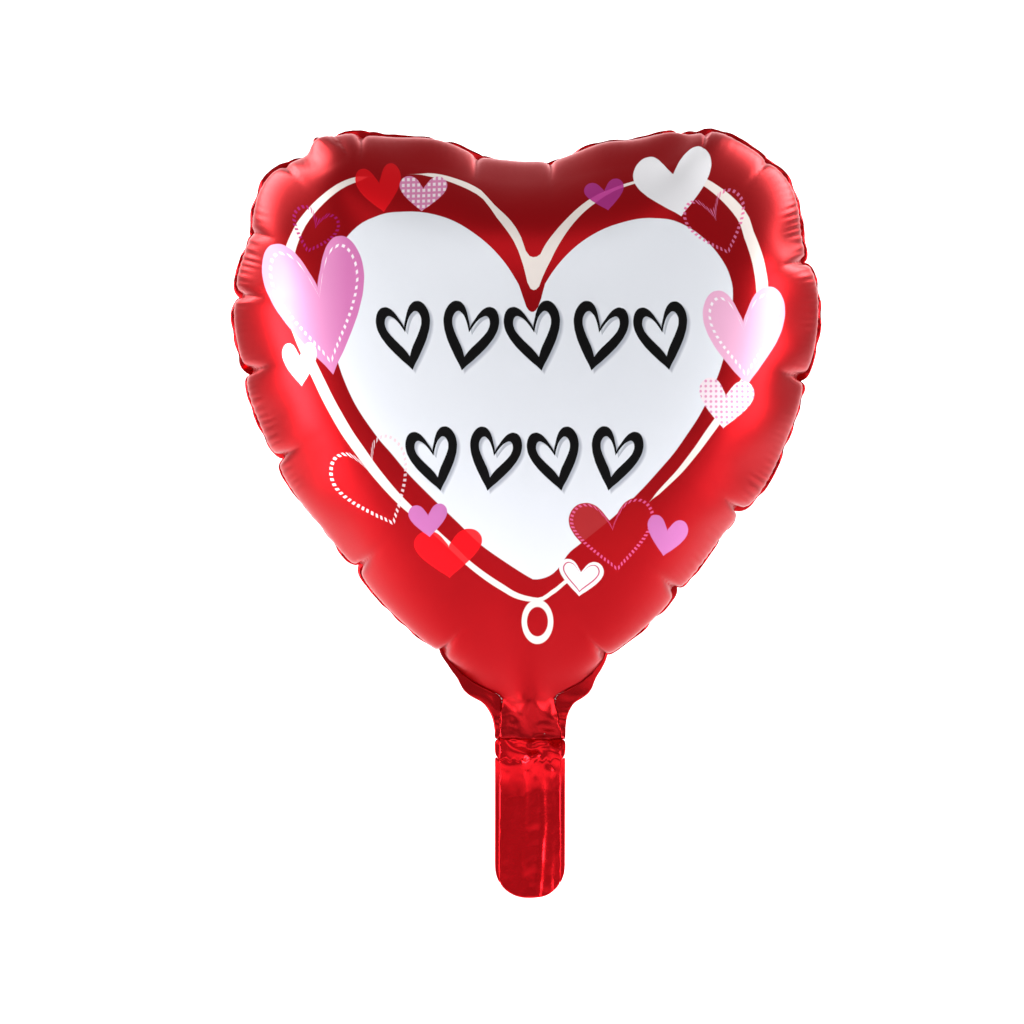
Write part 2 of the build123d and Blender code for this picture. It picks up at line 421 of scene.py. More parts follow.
def rim_place(flat):
    """How far along the seam each point is, and how far in from it (negative on the flange)."""
    loop = heart_loop()
    a = np.array(loop)
    b = np.roll(a, -1, axis=0)
    run = b - a
    length = np.linalg.norm(run, axis=1)
    start = np.concatenate([[0], np.cumsum(length)[:-1]])
    along, gap = np.zeros(len(flat)), np.zeros(len(flat))
    for first in range(0, len(flat), 4000):
        p = flat[first:first + 4000]
        t = np.clip(((p[:, None] - a) * run).sum(2) / length ** 2, 0, 1)
        apart = np.linalg.norm(p[:, None] - (a + t[..., None] * run), axis=2)
        best = apart.argmin(axis=1)
        rows = np.arange(len(p))
        gap[first:first + 4000] = apart[rows, best]
        along[first:first + 4000] = start[best] + t[rows, best] * length[best]
    gap *= np.where(inside(loop, flat), 1, -1)
    return along, gap, length.sum()


def wander(value, seed, lengths=(170.0, 61.0, 23.0)):
    """A smooth random curve between about -1 and 1."""
    phase = np.random.default_rng(seed).uniform(0, 2 * math.pi, len(lengths))
    return sum(np.sin(2 * math.pi * value / w + p) for w, p in zip(lengths, phase)) / len(lengths)


def ruffled_flange(x, along, gap, seam_along, seam):
    """Stands the flange on the seam at a slant that changes along it."""
    run = np.roll(seam, -1, axis=0) - np.roll(seam, 1, axis=0)
    outward = np.stack([-run[:, 2], np.zeros(len(run)), run[:, 0]], axis=1)
    outward /= np.linalg.norm(outward, axis=1)[:, None]
    first = (seam - np.array([HEART_CENTRE[0], 0, HEART_CENTRE[1]])) * outward
    outward *= np.sign(first.sum())
    period = seam_along[-1] + np.linalg.norm(seam[0] - seam[-1])
    base, away = [np.stack([np.interp(along, seam_along, v[:, k], period=period) for k in range(3)], axis=1)
                  for v in (seam, outward)]
    slant = FLANGE_SLANT + FLANGE_SWAY * wander(along, 21, (83.0, 37.0, 19.0))
    reach = np.maximum(-gap, 0)
    stood = base + away * (reach * np.cos(slant))[:, None]
    stood[:, 1] += reach * np.sin(slant)
    share = (ramp(x[:, 2], 50, 85) * (gap < 0))[:, None]
    return x * (1 - share) + stood * share


def crease_and_pleat(x, flat, tris, seam_at, with_panel):
    """Adds the deep creases, the bulges between them and the fine pleats."""
    along, gap, total = rim_place(flat)

    def around(d):
        return (d + total / 2) % total - total / 2

    inner = np.maximum(gap, 0)
    fade = np.clip(1 - inner / CREASE_LENGTH, 0, 1) ** 1.5
    above_neck = ramp(x[:, 2], 34, 52)
    inward = np.zeros_like(x)
    inward[:, 0], inward[:, 2] = HEART_CENTRE[0] - x[:, 0], HEART_CENTRE[1] - x[:, 2]
    inward /= np.linalg.norm(inward, axis=1)[:, None] + 1e-9
    valley = np.zeros(len(x))
    places = [seam_at(cx, cz) for cx, cz, _ in CREASES]
    for place, (_, _, depth) in zip(places, CREASES):
        valley = np.maximum(valley, depth * np.exp(-np.abs(around(along - place) / CREASE_WIDTH)))
    order = np.sort(places)
    after = np.searchsorted(order, along) % len(order)
    low, high = order[after - 1], order[after]
    part = ((along - low) % total) / ((high - low) % total)
    bulge = SCALLOP * np.clip(4 * part * (1 - part), 0, 1) ** 0.7 * ramp(x[:, 2], 60, 110)
    filled = np.zeros(len(x))
    for sx, sz, amount, width in SHOULDERS:
        filled += amount * np.exp(-(around(along - seam_at(sx, sz)) / width) ** 2)
    bulge += filled
    tuck = TUCK * np.exp(-(inner / 4) ** 2) - SWELL * inner / 9 * np.exp(1 - inner / 9)
    tuck *= ramp(x[:, 2], 40, 80)
    notch = valley * CREASE_INWARD * above_neck * (1 - 0.85 * ramp(x[:, 2], 300, 345))
    x = x + inward * ((notch - bulge) * fade + tuck)[:, None]
    if not with_panel:
        return x
    normal = point_normals(x, tris)
    sink = CREASE_SINK * valley * (inner / 8) * np.exp(1 - inner / 8) * above_neck
    zones = [seam_at(*zone) for zone in PLEATED]
    zone = 0.18 + 0.82 * np.max([np.exp(-(around(along - z) / 30) ** 2) for z in zones], axis=0)
    height = PLEAT_HEIGHT * zone * (0.65 + 0.35 * wander(along, 3)) * above_neck
    height *= ramp(inner, 0.2, 4) * (1 - ramp(inner + 6 * wander(along, 8, (41.0, 17.0)), 10, 27))
    phase = 2 * math.pi * along / PLEAT_LENGTH + 2.5 * wander(along, 4)
    fill = 0.3 * filled * fade * ramp(inner, 0, 8)
    return x + normal * (height * np.sin(phase) - sink + fill)[:, None]


# ---- Crumpled neck and tail ------------------------------------------------------------
LEAN = 2.6                    # how far the tail hangs to the right


def ridges(px, pz, seed, size):
    """Sharp-edged random folds, between about -1 and 1."""
    draw = np.random.default_rng(seed)
    height = np.zeros_like(px)
    for octave in (1.0, 1.7, 2.9):
        turn, phase = draw.uniform(0, math.pi), draw.uniform(0, 2 * math.pi)
        bend = 0.9 * np.sin((px * math.cos(turn + 1.3) + pz * math.sin(turn + 1.3)) / size * octave * 0.8)
        wave = (px * math.cos(turn) + pz * math.sin(turn)) / size * octave + phase + bend
        height += (2 * np.abs(np.sin(wave)) - 1.27) / octave
    return height / 1.5


def crumple(x, layer_of):
    """Bends the neck and tail, and dents each ply where it is free."""
    px, pz = x[:, 0], x[:, 2]
    tail = 1 - ramp(pz, -14, 6)
    neck = ramp(pz, -22, -4) * (1 - ramp(pz, 22, 40))
    free = np.clip((NECK_INNER - np.abs(px)) / 7, 0, 1)
    both = 1.2 * tail * ridges(px, pz * 0.3, 11, 17) + 1.6 * neck * ridges(px, pz, 12, 9)
    long = np.where(layer_of < 0, ridges(px, pz * 0.25, 13, 12), ridges(px, pz * 0.25, 14, 12))
    short = np.where(layer_of < 0, ridges(px, pz, 15, 8), ridges(px, pz, 16, 8))
    puff = np.maximum(2.6 * tail * long + 0.3 * tail * short + 3.0 * neck * short, 0.8 * neck - 0.2)
    out = x.copy()
    out[:, 0] += LEAN * (1 - ramp(pz, 5, 60))
    out[:, 1] += both + layer_of * free * puff
    return out


# ---- Materials -------------------------------------------------------------------------
def linear(code):
    """A colour written as six hex digits, in linear light."""
    parts = [int(code[i:i + 2], 16) / 255 for i in (0, 2, 4)]
    return (*[c / 12.92 if c <= 0.04045 else ((c + 0.055) / 1.055) ** 2.4 for c in parts], 1.0)


class Graph:
    """Short names for building a node tree."""

    def __init__(self, tree):
        self.tree = tree

    def add(self, kind, *values, **settings):
        node = self.tree.nodes.new("ShaderNode" + kind)
        for name, value in settings.items():
            setattr(node, name, value)
        for socket, value in zip(node.inputs, values):
            self.feed(socket, value)
        return node

    def feed(self, socket, value):
        if isinstance(value, bpy.types.NodeSocket):
            self.tree.links.new(value, socket)
        elif value is not None:
            socket.default_value = value

    def math(self, operation, *values, clamp=False):
        return self.add("Math", *values, operation=operation, use_clamp=clamp).outputs[0]

    def blend(self, share, a, b):
        node = self.add("Mix", data_type="RGBA")
        for socket, value in ((node.inputs[0], share), (node.inputs[6], a), (node.inputs[7], b)):
            self.feed(socket, value)
        return node.outputs[2]

    def number(self, share, a, b):
        return self.add("Mix", share, None, a, b).outputs[0]

    def curve(self, value, points):
        """A smooth function of value through points, whose coordinates are from 0 to 1."""
        node = self.add("FloatCurve", 1.0, value)
        line = node.mapping.curves[0]
        for i, (px, py) in enumerate(points):
            point = line.points[i] if i < 2 else line.points.new(px, py)
            point.location = (px, py)
        node.mapping.update()
        return node.outputs[0]

    def within(self, distance, softness):
        """1 where distance is below zero, 0 above it."""
        return self.math("MULTIPLY_ADD", distance, -1 / softness, 0.5, clamp=True)


# A heart one unit to each side, right half, from the cleft to the tip.
HEART = [(0.0, 0.16), (0.09, 0.36), (0.21, 0.58), (0.38, 0.77), (0.60, 0.84), (0.80, 0.77), (0.94, 0.57),
         (0.98, 0.30), (0.90, 0.01), (0.74, -0.27), (0.52, -0.55), (0.27, -0.83), (0.0, -1.12)]
HEART_REACH = 1.25            # the largest distance that its curve holds


def heart_group():
    """A node group that draws one heart, with a line of stitches inside its edge."""
    tree = bpy.data.node_groups.new("print_heart", "ShaderNodeTree")
    for name, kind in (("Place", "Vector"), ("Centre", "Vector"), ("Turn", "Vector"), ("Size", "Vector"),
                       ("Inset", "Float"), ("Stitches", "Float")):
        tree.interface.new_socket(name, in_out="INPUT", socket_type="NodeSocket" + kind)
    for name in ("Fill", "Stitch", "Gap"):
        tree.interface.new_socket(name, in_out="OUTPUT", socket_type="NodeSocketFloat")
    g = Graph(tree)
    given = tree.nodes.new("NodeGroupInput").outputs
    local = g.add("Mapping", given["Place"], given["Centre"], given["Turn"], given["Size"],
                  vector_type="TEXTURE").outputs[0]
    axes = g.add("SeparateXYZ", local).outputs
    angle = g.math("DIVIDE", g.math("ARCTAN2", g.math("ABSOLUTE", axes[0]), axes[1]), math.pi)
    reach = g.add("VectorMath", local, operation="LENGTH").outputs["Value"]
    outline = [(math.atan2(px, py) / math.pi, math.hypot(px, py) / HEART_REACH) for px, py in HEART]
    edge = g.math("MULTIPLY", g.curve(angle, outline), HEART_REACH)
    scale = g.add("SeparateXYZ", given["Size"]).outputs
    scale = g.math("MULTIPLY", g.math("ADD", scale[0], scale[1]), 0.45)
    polar = [(math.atan2(px, py), math.hypot(px, py)) for px, py in HEART]
    lean = []
    for i, (turn, away) in enumerate(polar):
        before, after = polar[max(i - 1, 0)], polar[min(i + 1, len(polar) - 1)]
        slope = (after[1] - before[1]) / (after[0] - before[0])
        lean.append((turn / math.pi, away / math.hypot(away, slope)))
    gap = g.math("MULTIPLY", g.math("SUBTRACT", reach, edge), g.math("MULTIPLY", scale, g.curve(angle, lean)))
    steps = [math.dist(p, q) for p, q in zip(HEART, HEART[1:])]
    along = [(angle_at, sum(steps[:i]) / sum(steps)) for i, (angle_at, _) in enumerate(outline)]
    beat = g.math("FRACT", g.math("MULTIPLY", g.curve(angle, along), given["Stitches"]))
    dash = g.within(g.math("SUBTRACT", g.math("ABSOLUTE", g.math("SUBTRACT", beat, 0.5)), 0.24), 0.12)
    line = g.within(g.math("SUBTRACT", g.math("ABSOLUTE", g.math("ADD", gap, given["Inset"])), 0.85), 0.4)
    result = tree.nodes.new("NodeGroupOutput").inputs
    g.feed(result["Fill"], g.within(gap, 0.35))
    g.feed(result["Stitch"], g.math("MULTIPLY", dash, line))
    g.feed(result["Gap"], gap)
    return tree


# The print, in millimetres on the full heart seen from the front.
PRINT_CENTRE = (4.5, 222.0)
PRINT_REACH = 200.0           # more than any point of the ribbon is from that centre
# These two outlines are positions read from the photo and turned into millimetres.
PANEL_EDGE = [(3.8, 279), (12, 297), (22, 311), (41, 327), (60, 335.5), (82, 339), (102, 335), (114, 327),
              (125, 314), (131, 301), (132.5, 285), (131, 267), (126, 246), (113, 215), (97, 191), (76, 167),
              (55, 146.5), (31, 127), (5, 107), (-27.5, 128), (-54.5, 154), (-80.5, 181), (-95, 198),
              (-111, 222), (-120, 244), (-125, 267), (-126, 293), (-121, 318), (-111, 332), (-97, 340.5),
              (-79.5, 343.5), (-55, 340), (-31, 327), (-13.5, 310), (-4, 295)]
# The ribbon round it: each point has half of the ribbon's width, measured towards the centre.
RIBBON_WIDEST = 12.5
RIBBON = [(4.5, 303, 10.4), (12, 313, 9.6), (22, 328, 6.6), (34.5, 342, 4.2), (46, 350.5, 3.0),
          (73, 361.5, 1.2), (98.5, 364, 1.8), (122, 357, 2.8), (134, 346, 3.4), (142, 328, 3.6),
          (148, 309, 3.9), (151, 287, 4.0), (150, 258, 3.7), (137, 229, 3.2), (120, 205, 2.8),
          (111, 192.5, 2.4), (98.5, 177, 1.9), (84.5, 163, 1.1), (77, 155, 0), (50.5, 120, 0),
          (31.5, 109.5, 1.1), (16.5, 98.5, 1.7), (7, 94, 1.5), (-4, 96, 2), (-16.5, 102.5, 2.3),
          (-36, 116.5, 2.1), (-51, 131, 2.1), (-64.5, 143.5, 2.1), (-77.5, 155.5, 2.6), (-100, 181, 3.4),
          (-116, 203.5, 3.9), (-128.5, 226, 4.0), (-137, 244, 4.0), (-144.5, 261, 3.8), (-152, 287, 3.6),
          (-151, 313, 3.4), (-147, 327, 3.0), (-139.5, 341, 2.6), (-125.5, 354, 2.2), (-105.5, 364, 1.6),
          (-98, 365, 0), (-80, 366, 0), (-61.5, 365, 1.4), (-45.5, 361, 2.2), (-29.5, 354, 3.0),
          (-20, 343, 4.4), (-7, 327, 6.8), (-2, 316, 9.0)]
CURL = (7.5, 80.5, 8.6, 11.5)     # the ribbon's curl: centre, half width, half height
# Small hearts, from the lowest layer to the highest:
# x, z, half width, height unit, turn in degrees, style, stitch inset, stitches in each half.
HEARTS = [
    (-94, 359, 14.5, 14, 10, "bright red", 0, 0),
    (-66.5, 355.5, 15.5, 10.7, -3, "check", 0, 0),
    (-135, 333, 14, 13.5, -18, "magenta stitches", 0, 17),
    (-132.5, 288, 32, 45, 10, "two pinks", 5.0, 26),
    (-144.5, 247, 10.8, 14, 4, "pale blue", 0, 0),
    (51, 353.5, 13, 9.2, 10, "magenta", 0, 0),
    (95, 361.5, 25.5, 19, 12, "white", 0, 0),
    (122, 338, 19, 19, 20, "pink stitches", 0, 21),
    (139.5, 267, 26, 32, 3, "light pink", 4.5, 20),
    (128, 222, 17.5, 16, -6, "dots", 0, 0),
    (-97, 172, 24, 27, 24, "white stitches", 0, 27),
    (-50, 126.5, 22, 15.5, 2, "bright red", 0, 0),
    (-63, 147, 12.5, 10.5, 4, "orchid", 0, 0),
    (56, 139, 28, 23, 6, "dark red", 1.5, 30),
    (89, 138, 12.5, 12, -12, "orchid", 0, 0),
    (35.5, 110, 14.5, 11.5, -5, "white outlined", 2.4, 0),
]
FILLS = {"bright red": "FF1420", "two pinks": "E58FC0", "pale blue": "EEF2FA", "magenta": "CB3E9C",
         "white": "F6F5F8", "light pink": "F3B4D6", "orchid": "CF72B8", "dark red": "B40D14",
         "white outlined": "F8F4F6", "check": "FBE9F0", "dots": "FBEAF1"}
STITCHES = {"two pinks": "FFF2F8", "light pink": "FFF4FA", "magenta stitches": "C2247E",
            "pink stitches": "F27FAE", "white stitches": "F7D9DF", "dark red": "E45C93",
            "white outlined": "C93A66"}
PALE = ("two pinks", "pale blue", "white", "light pink", "orchid", "white outlined", "check", "dots")
# The two rows of plain black hearts: x of the middle, z, spacing, count, half width, height unit.
ROWS = [(5.0, 266, 41.0, 5, 18.0, 22.0), (-1.0, 187, 39.0, 4, 17.0, 20.5)]
ROW_TURN = 11.0
ROW_STROKE = 6.0
RED, DEEP_RED, CREAM, PEARL, BLACK = "B40A14", "92070E", "F8EDE6", "EEF1F7", "060506"


def ring_curves(points, centre, reach):
    """The curve of distance against angle for a closed line round a centre, and of its width."""
    rows = []
    for px, pz, *width in points:
        rows.append((math.atan2(px - centre[0], pz - centre[1]) / (2 * math.pi) + 0.5,
                     math.hypot(px - centre[0], pz - centre[1]) / reach, *width))
    rows.sort()
    ends = [(rows[-1][0] - 1, *rows[-1][1:]), (rows[0][0] + 1, *rows[0][1:])]
    rows = [ends[0], *rows, ends[1]]
    at = [r[0] for r in rows]
    inner = [tuple([x, *[float(np.interp(x, at, [r[k] for r in rows])) for k in range(1, len(rows[0]))]])
             for x in (0.0, 1.0)]
    return [inner[0], *rows[1:-1], inner[1]]


def new_material(name):
    """A material, the graph of its nodes and its shader."""
    material = bpy.data.materials.new(name)
    material.use_nodes = True
    return material, Graph(material.node_tree), material.node_tree.nodes["Principled BSDF"]


def print_material():
    """The printed foil: pearl heart, ribbon and small hearts on metallic red."""
    material, g, shader = new_material("printed_foil")
    place = g.add("UVMap", uv_map="print").outputs[0]
    axes = g.add("SeparateXYZ", place).outputs
    group = heart_group()

    def heart(where, centre, turn, half_width, unit, inset=0.0, stitches=0.0):
        node = g.add("Group", node_tree=group)
        for name, value in (("Place", where), ("Centre", (*centre, 0)), ("Turn", (0, 0, math.radians(turn))),
                            ("Size", (half_width, unit, 1)), ("Inset", inset), ("Stitches", stitches)):
            g.feed(node.inputs[name], value)
        return node.outputs

    from_centre = [g.math("SUBTRACT", axes[k], PRINT_CENTRE[k]) for k in (0, 1)]
    angle = g.math("ARCTAN2", *from_centre)
    angle = g.math("MULTIPLY_ADD", angle, 1 / (2 * math.pi), 0.5)
    reach = g.math("SQRT", g.math("ADD", *[g.math("POWER", d, 2.0) for d in from_centre]))

    cloud = g.add("TexNoise", place, None, 0.012, 2.0, 0.5).outputs[0]
    colour = g.blend(g.math("MULTIPLY", cloud, 0.45), linear(RED), linear(DEEP_RED))

    rows = ring_curves(RIBBON, PRINT_CENTRE, PRINT_REACH)
    line = g.math("MULTIPLY", g.curve(angle, [(r[0], r[1]) for r in rows]), PRINT_REACH)
    widths = [(r[0], r[2] / RIBBON_WIDEST) for r in rows]
    width = g.math("MULTIPLY_ADD", g.curve(angle, widths), RIBBON_WIDEST, -0.2)
    ribbon = g.within(g.math("SUBTRACT", g.math("ABSOLUTE", g.math("SUBTRACT", reach, line)), width), 0.4)
    curl_x = g.math("DIVIDE", g.math("SUBTRACT", axes[0], CURL[0]), CURL[2])
    curl_z = g.math("DIVIDE", g.math("SUBTRACT", axes[1], CURL[1]), CURL[3])
    curl = g.math("SQRT", g.math("ADD", g.math("POWER", curl_x, 2.0), g.math("POWER", curl_z, 2.0)))
    curl = g.within(g.math("SUBTRACT", g.math("ABSOLUTE", g.math("SUBTRACT", curl, 1.0)), 0.2), 0.05)
    ribbon = g.math("MAXIMUM", ribbon, curl)
    colour = g.blend(ribbon, colour, linear(CREAM))

    rows = ring_curves(PANEL_EDGE, PRINT_CENTRE, PRINT_REACH)
    edge = g.math("MULTIPLY", g.curve(angle, rows), PRINT_REACH)
    panel = g.within(g.math("SUBTRACT", reach, edge), 0.5)
    colour = g.blend(panel, colour, linear(PEARL))
    pale = g.math("MAXIMUM", ribbon, panel)

    ink = 0.0
    for middle, height, spacing, count, half_width, unit in ROWS:
        for shadow in (True, False):
            off = (1.8, -1.6) if shadow else (0.0, 0.0)
            start = middle + off[0] - spacing * count / 2
            steps = g.math("DIVIDE", g.math("SUBTRACT", axes[0], start), spacing)
            local = g.math("MULTIPLY", g.math("SUBTRACT", g.math("FRACT", steps), 0.5), spacing)
            odd = g.math("MODULO", g.math("FLOOR", steps), 2.0)
            flip = g.math("MULTIPLY_ADD", g.math("ABSOLUTE", odd), -2.0, 1.0)
            where = g.add("CombineXYZ", g.math("MULTIPLY", local, flip), axes[1]).outputs[0]
            gap = heart(where, (0, height + off[1]), ROW_TURN, half_width, unit)["Gap"]
            half = ROW_STROKE / 2
            ring = g.math("SUBTRACT", g.math("ABSOLUTE", g.math("ADD", gap, half)), half)
            ring = g.within(ring, 1.6 if shadow else 0.35)
            held = g.math("LESS_THAN", g.math("ABSOLUTE", g.math("SUBTRACT", steps, count / 2)), count / 2)
            ring = g.math("MULTIPLY", ring, held)
            if shadow:
                colour = g.blend(g.math("MULTIPLY", ring, 0.75), colour, linear("A3A8B4"))
            else:
                colour = g.blend(ring, colour, linear(BLACK))
                ink = g.math("MAXIMUM", ink, ring)

    for px, pz, half_width, unit, turn, style, inset, stitches in HEARTS:
        shape = heart(place, (px, pz), turn, half_width, unit, inset, float(stitches))
        if style in FILLS:
            paint = linear(FILLS[style])
            if style == "two pinks":
                across = g.math("MULTIPLY_ADD", g.math("SUBTRACT", axes[0], px), 0.028, 0.5, clamp=True)
                paint = g.blend(across, linear("EBA3CC"), linear("D878B6"))
            elif style in ("check", "dots"):
                metric = "CHEBYCHEV" if style == "check" else "EUCLIDEAN"
                cells = g.add("TexVoronoi", place, None, 1 / 3.3, voronoi_dimensions="2D", distance=metric)
                cells.inputs["Randomness"].default_value = 0.0
                spot = g.within(g.math("SUBTRACT", cells.outputs["Distance"], 0.27), 0.12)
                inks = (linear("DE86B4"), paint) if style == "check" else (paint, linear("E89CC3"))
                paint = g.blend(spot, *inks)
            colour = g.blend(shape["Fill"], colour, paint)
            if style in PALE:
                pale = g.math("MAXIMUM", pale, shape["Fill"])
        if style in STITCHES and stitches:
            colour = g.blend(shape["Stitch"], colour, linear(STITCHES[style]))
        elif style in STITCHES:
            band = g.math("SUBTRACT", g.math("ABSOLUTE", g.math("ADD", shape["Gap"], inset)), 0.35)
            colour = g.blend(g.within(band, 0.3), colour, linear(STITCHES[style]))

    grain = g.add("TexNoise", place, None, 0.9, 3.0, 0.6).outputs[0]
    rough = g.number(pale, 0.33, 0.42)
    rough = g.number(ink, rough, 0.5)
    rough = g.math("ADD", rough, g.math("MULTIPLY_ADD", grain, 0.10, -0.05))
    metal = g.number(pale, 0.88, 0.25)
    metal = g.math("MULTIPLY", metal, g.math("SUBTRACT", 1.0, ink))
    bump = g.add("Bump", 0.06, 0.0006, None, grain)
    g.feed(shader.inputs["Base Color"], colour)
    g.feed(shader.inputs["Roughness"], rough)
    g.feed(shader.inputs["Metallic"], metal)
    g.feed(shader.inputs["Specular IOR Level"], g.number(ink, 0.5, 0.1))
    g.feed(shader.inputs["Normal"], bump.outputs[0])
    return material


def foil_material(name, colour, dark, roughness, bump_size, bump_depth):
    """Bare metallised film."""
    material, g, shader = new_material(name)
    place = g.add("TexCoord").outputs["Object"]
    cloud = g.add("TexNoise", place, None, 60.0, 3.0, 0.55).outputs[0]
    creases = g.add("TexNoise", place, None, 1 / bump_size, 3.0, 0.6, 2.0, None, 0.8).outputs[0]
    g.feed(shader.inputs["Base Color"], g.blend(cloud, linear(colour), linear(dark)))
    g.feed(shader.inputs["Roughness"], g.math("MULTIPLY_ADD", cloud, 0.12, roughness - 0.06))
    shader.inputs["Metallic"].default_value = 0.9
    bump = g.add("Bump", 0.5, bump_depth, None, creases)
    g.feed(shader.inputs["Normal"], bump.outputs[0])
    return material


def clear_material(name, colour, roughness, alpha):
    """Thin clear plastic film, or the print on it."""
    material, g, shader = new_material(name)
    haze = g.add("TexNoise", g.add("TexCoord").outputs["Object"], None, 90.0, 2.0, 0.5).outputs[0]
    g.feed(shader.inputs["Base Color"], g.blend(haze, linear(colour), linear("FFFFFF")))
    g.feed(shader.inputs["Roughness"], g.math("MULTIPLY_ADD", haze, 0.1, roughness))
    shader.inputs["Alpha"].default_value = alpha
    return material


# ---- Pieces ----------------------------------------------------------------------------
NECK_SPLIT = -8.5             # the tail film is cut here, half-way between its two fold lines
MEETING = 4                   # a point that this many pieces or more share stays where it is
FILM = 0.14
FLANGE_FILM = 0.32
PRINT_FADE = (30, 80)         # below these heights the print lies by plain x and z
VALVE_FILM = 0.06
VALVE_PLY = 0.2               # how far each valve film is from the middle
VALVE_HALF_WIDTH = 12.0
VALVE_BOTTOM, VALVE_TOP = -16.5, 118.0
CAMERA_DISTANCE = 3.0
CAMERA_AIM = (-9.0, 151.0)    # x and z of the middle of the picture, in millimetres


def as_seen(x):
    """Where points appear from the camera, measured in the plane of the seam."""
    aim = np.array(CAMERA_AIM)
    depth = CAMERA_DISTANCE * 1000
    return aim + (x[:, [0, 2]] - aim) * (depth / (depth + x[:, 1]))[:, None]


def curve_basis(flat):
    """Every product of powers of the two flat coordinates up to the sixth degree."""
    u, v = flat[:, 0] / 220, (flat[:, 1] - 190) / 220
    return np.stack([u ** i * v ** j for i in range(7) for j in range(7 - i)], axis=1)


def new_object(name, data):
    obj = bpy.data.objects.new(name, data)
    bpy.context.collection.objects.link(obj)
    return obj


def mesh_object(name, x, tris, uv, material):
    mesh = bpy.data.meshes.new(name)
    mesh.from_pydata((x / 1000).tolist(), [], tris.tolist())
    if uv is not None:
        layer = mesh.uv_layers.new(name="print")
        corners = np.zeros(len(mesh.loops), int)
        mesh.loops.foreach_get("vertex_index", corners)
        layer.data.foreach_set("uv", uv[corners].astype(np.float32).ravel())
    mesh.polygons.foreach_set("use_smooth", [True] * len(mesh.polygons))
    mesh.materials.append(material)
    mesh.update()
    return new_object(name, mesh)


def thicken(obj, thickness, offset):
    """Gives the film its thickness, in millimetres, and keeps the result as the mesh."""
    solid = obj.modifiers.new("film", "SOLIDIFY")
    solid.thickness = thickness / 1000
    solid.offset = offset
    solid.use_even_offset = False
    scene_graph = bpy.context.evaluated_depsgraph_get()
    mesh = bpy.data.meshes.new_from_object(obj.evaluated_get(scene_graph))
    obj.modifiers.clear()
    obj.data = mesh


def part_of(flat, tris, region):
    """The name of the piece that each triangle belongs to."""
    height = flat[tris][:, :, 1].mean(axis=1) - NECK_LINE + NECK_LINE_AFTER
    above = height > NECK_SPLIT
    names = np.full(len(tris), "foil_front", dtype="U24")
    names[region == REAR] = "foil_rear"
    names[(region == WELDED) & (height > NECK_LINE_AFTER)] = "seam_flange"
    for kind, word in ((WELDED, "seams"), (TAIL_FRONT, "foil_front"), (TAIL_REAR, "foil_rear")):
        low = (region == kind) & (height <= NECK_LINE_AFTER)
        names[low & above] = "neck_" + word
        names[low & ~above] = "tail_" + word
    return names


def cut_piece(x, flat, tris, corner):
    used = np.unique(tris)
    number = np.full(len(x), -1)
    number[used] = np.arange(len(used))
    return x[used], flat[used], number[tris], corner[used]


def strip(low, high, half_width, y, columns=9, spacing=3.0):
    """A flat strip of valve film as a grid, from low to high."""
    rows = max(2, round((high - low) / spacing))
    gx, gz = np.meshgrid(np.linspace(-half_width, half_width, columns), np.linspace(low, high, rows + 1))
    x = np.stack([gx.ravel(), np.full(gx.size, y), gz.ravel()], axis=1)
    at = np.arange(gx.size).reshape(gx.shape)
    a, b, c, d = at[:-1, :-1].ravel(), at[:-1, 1:].ravel(), at[1:, 1:].ravel(), at[1:, :-1].ravel()
    return x, np.concatenate([np.stack([a, b, c], axis=1), np.stack([a, c, d], axis=1)])


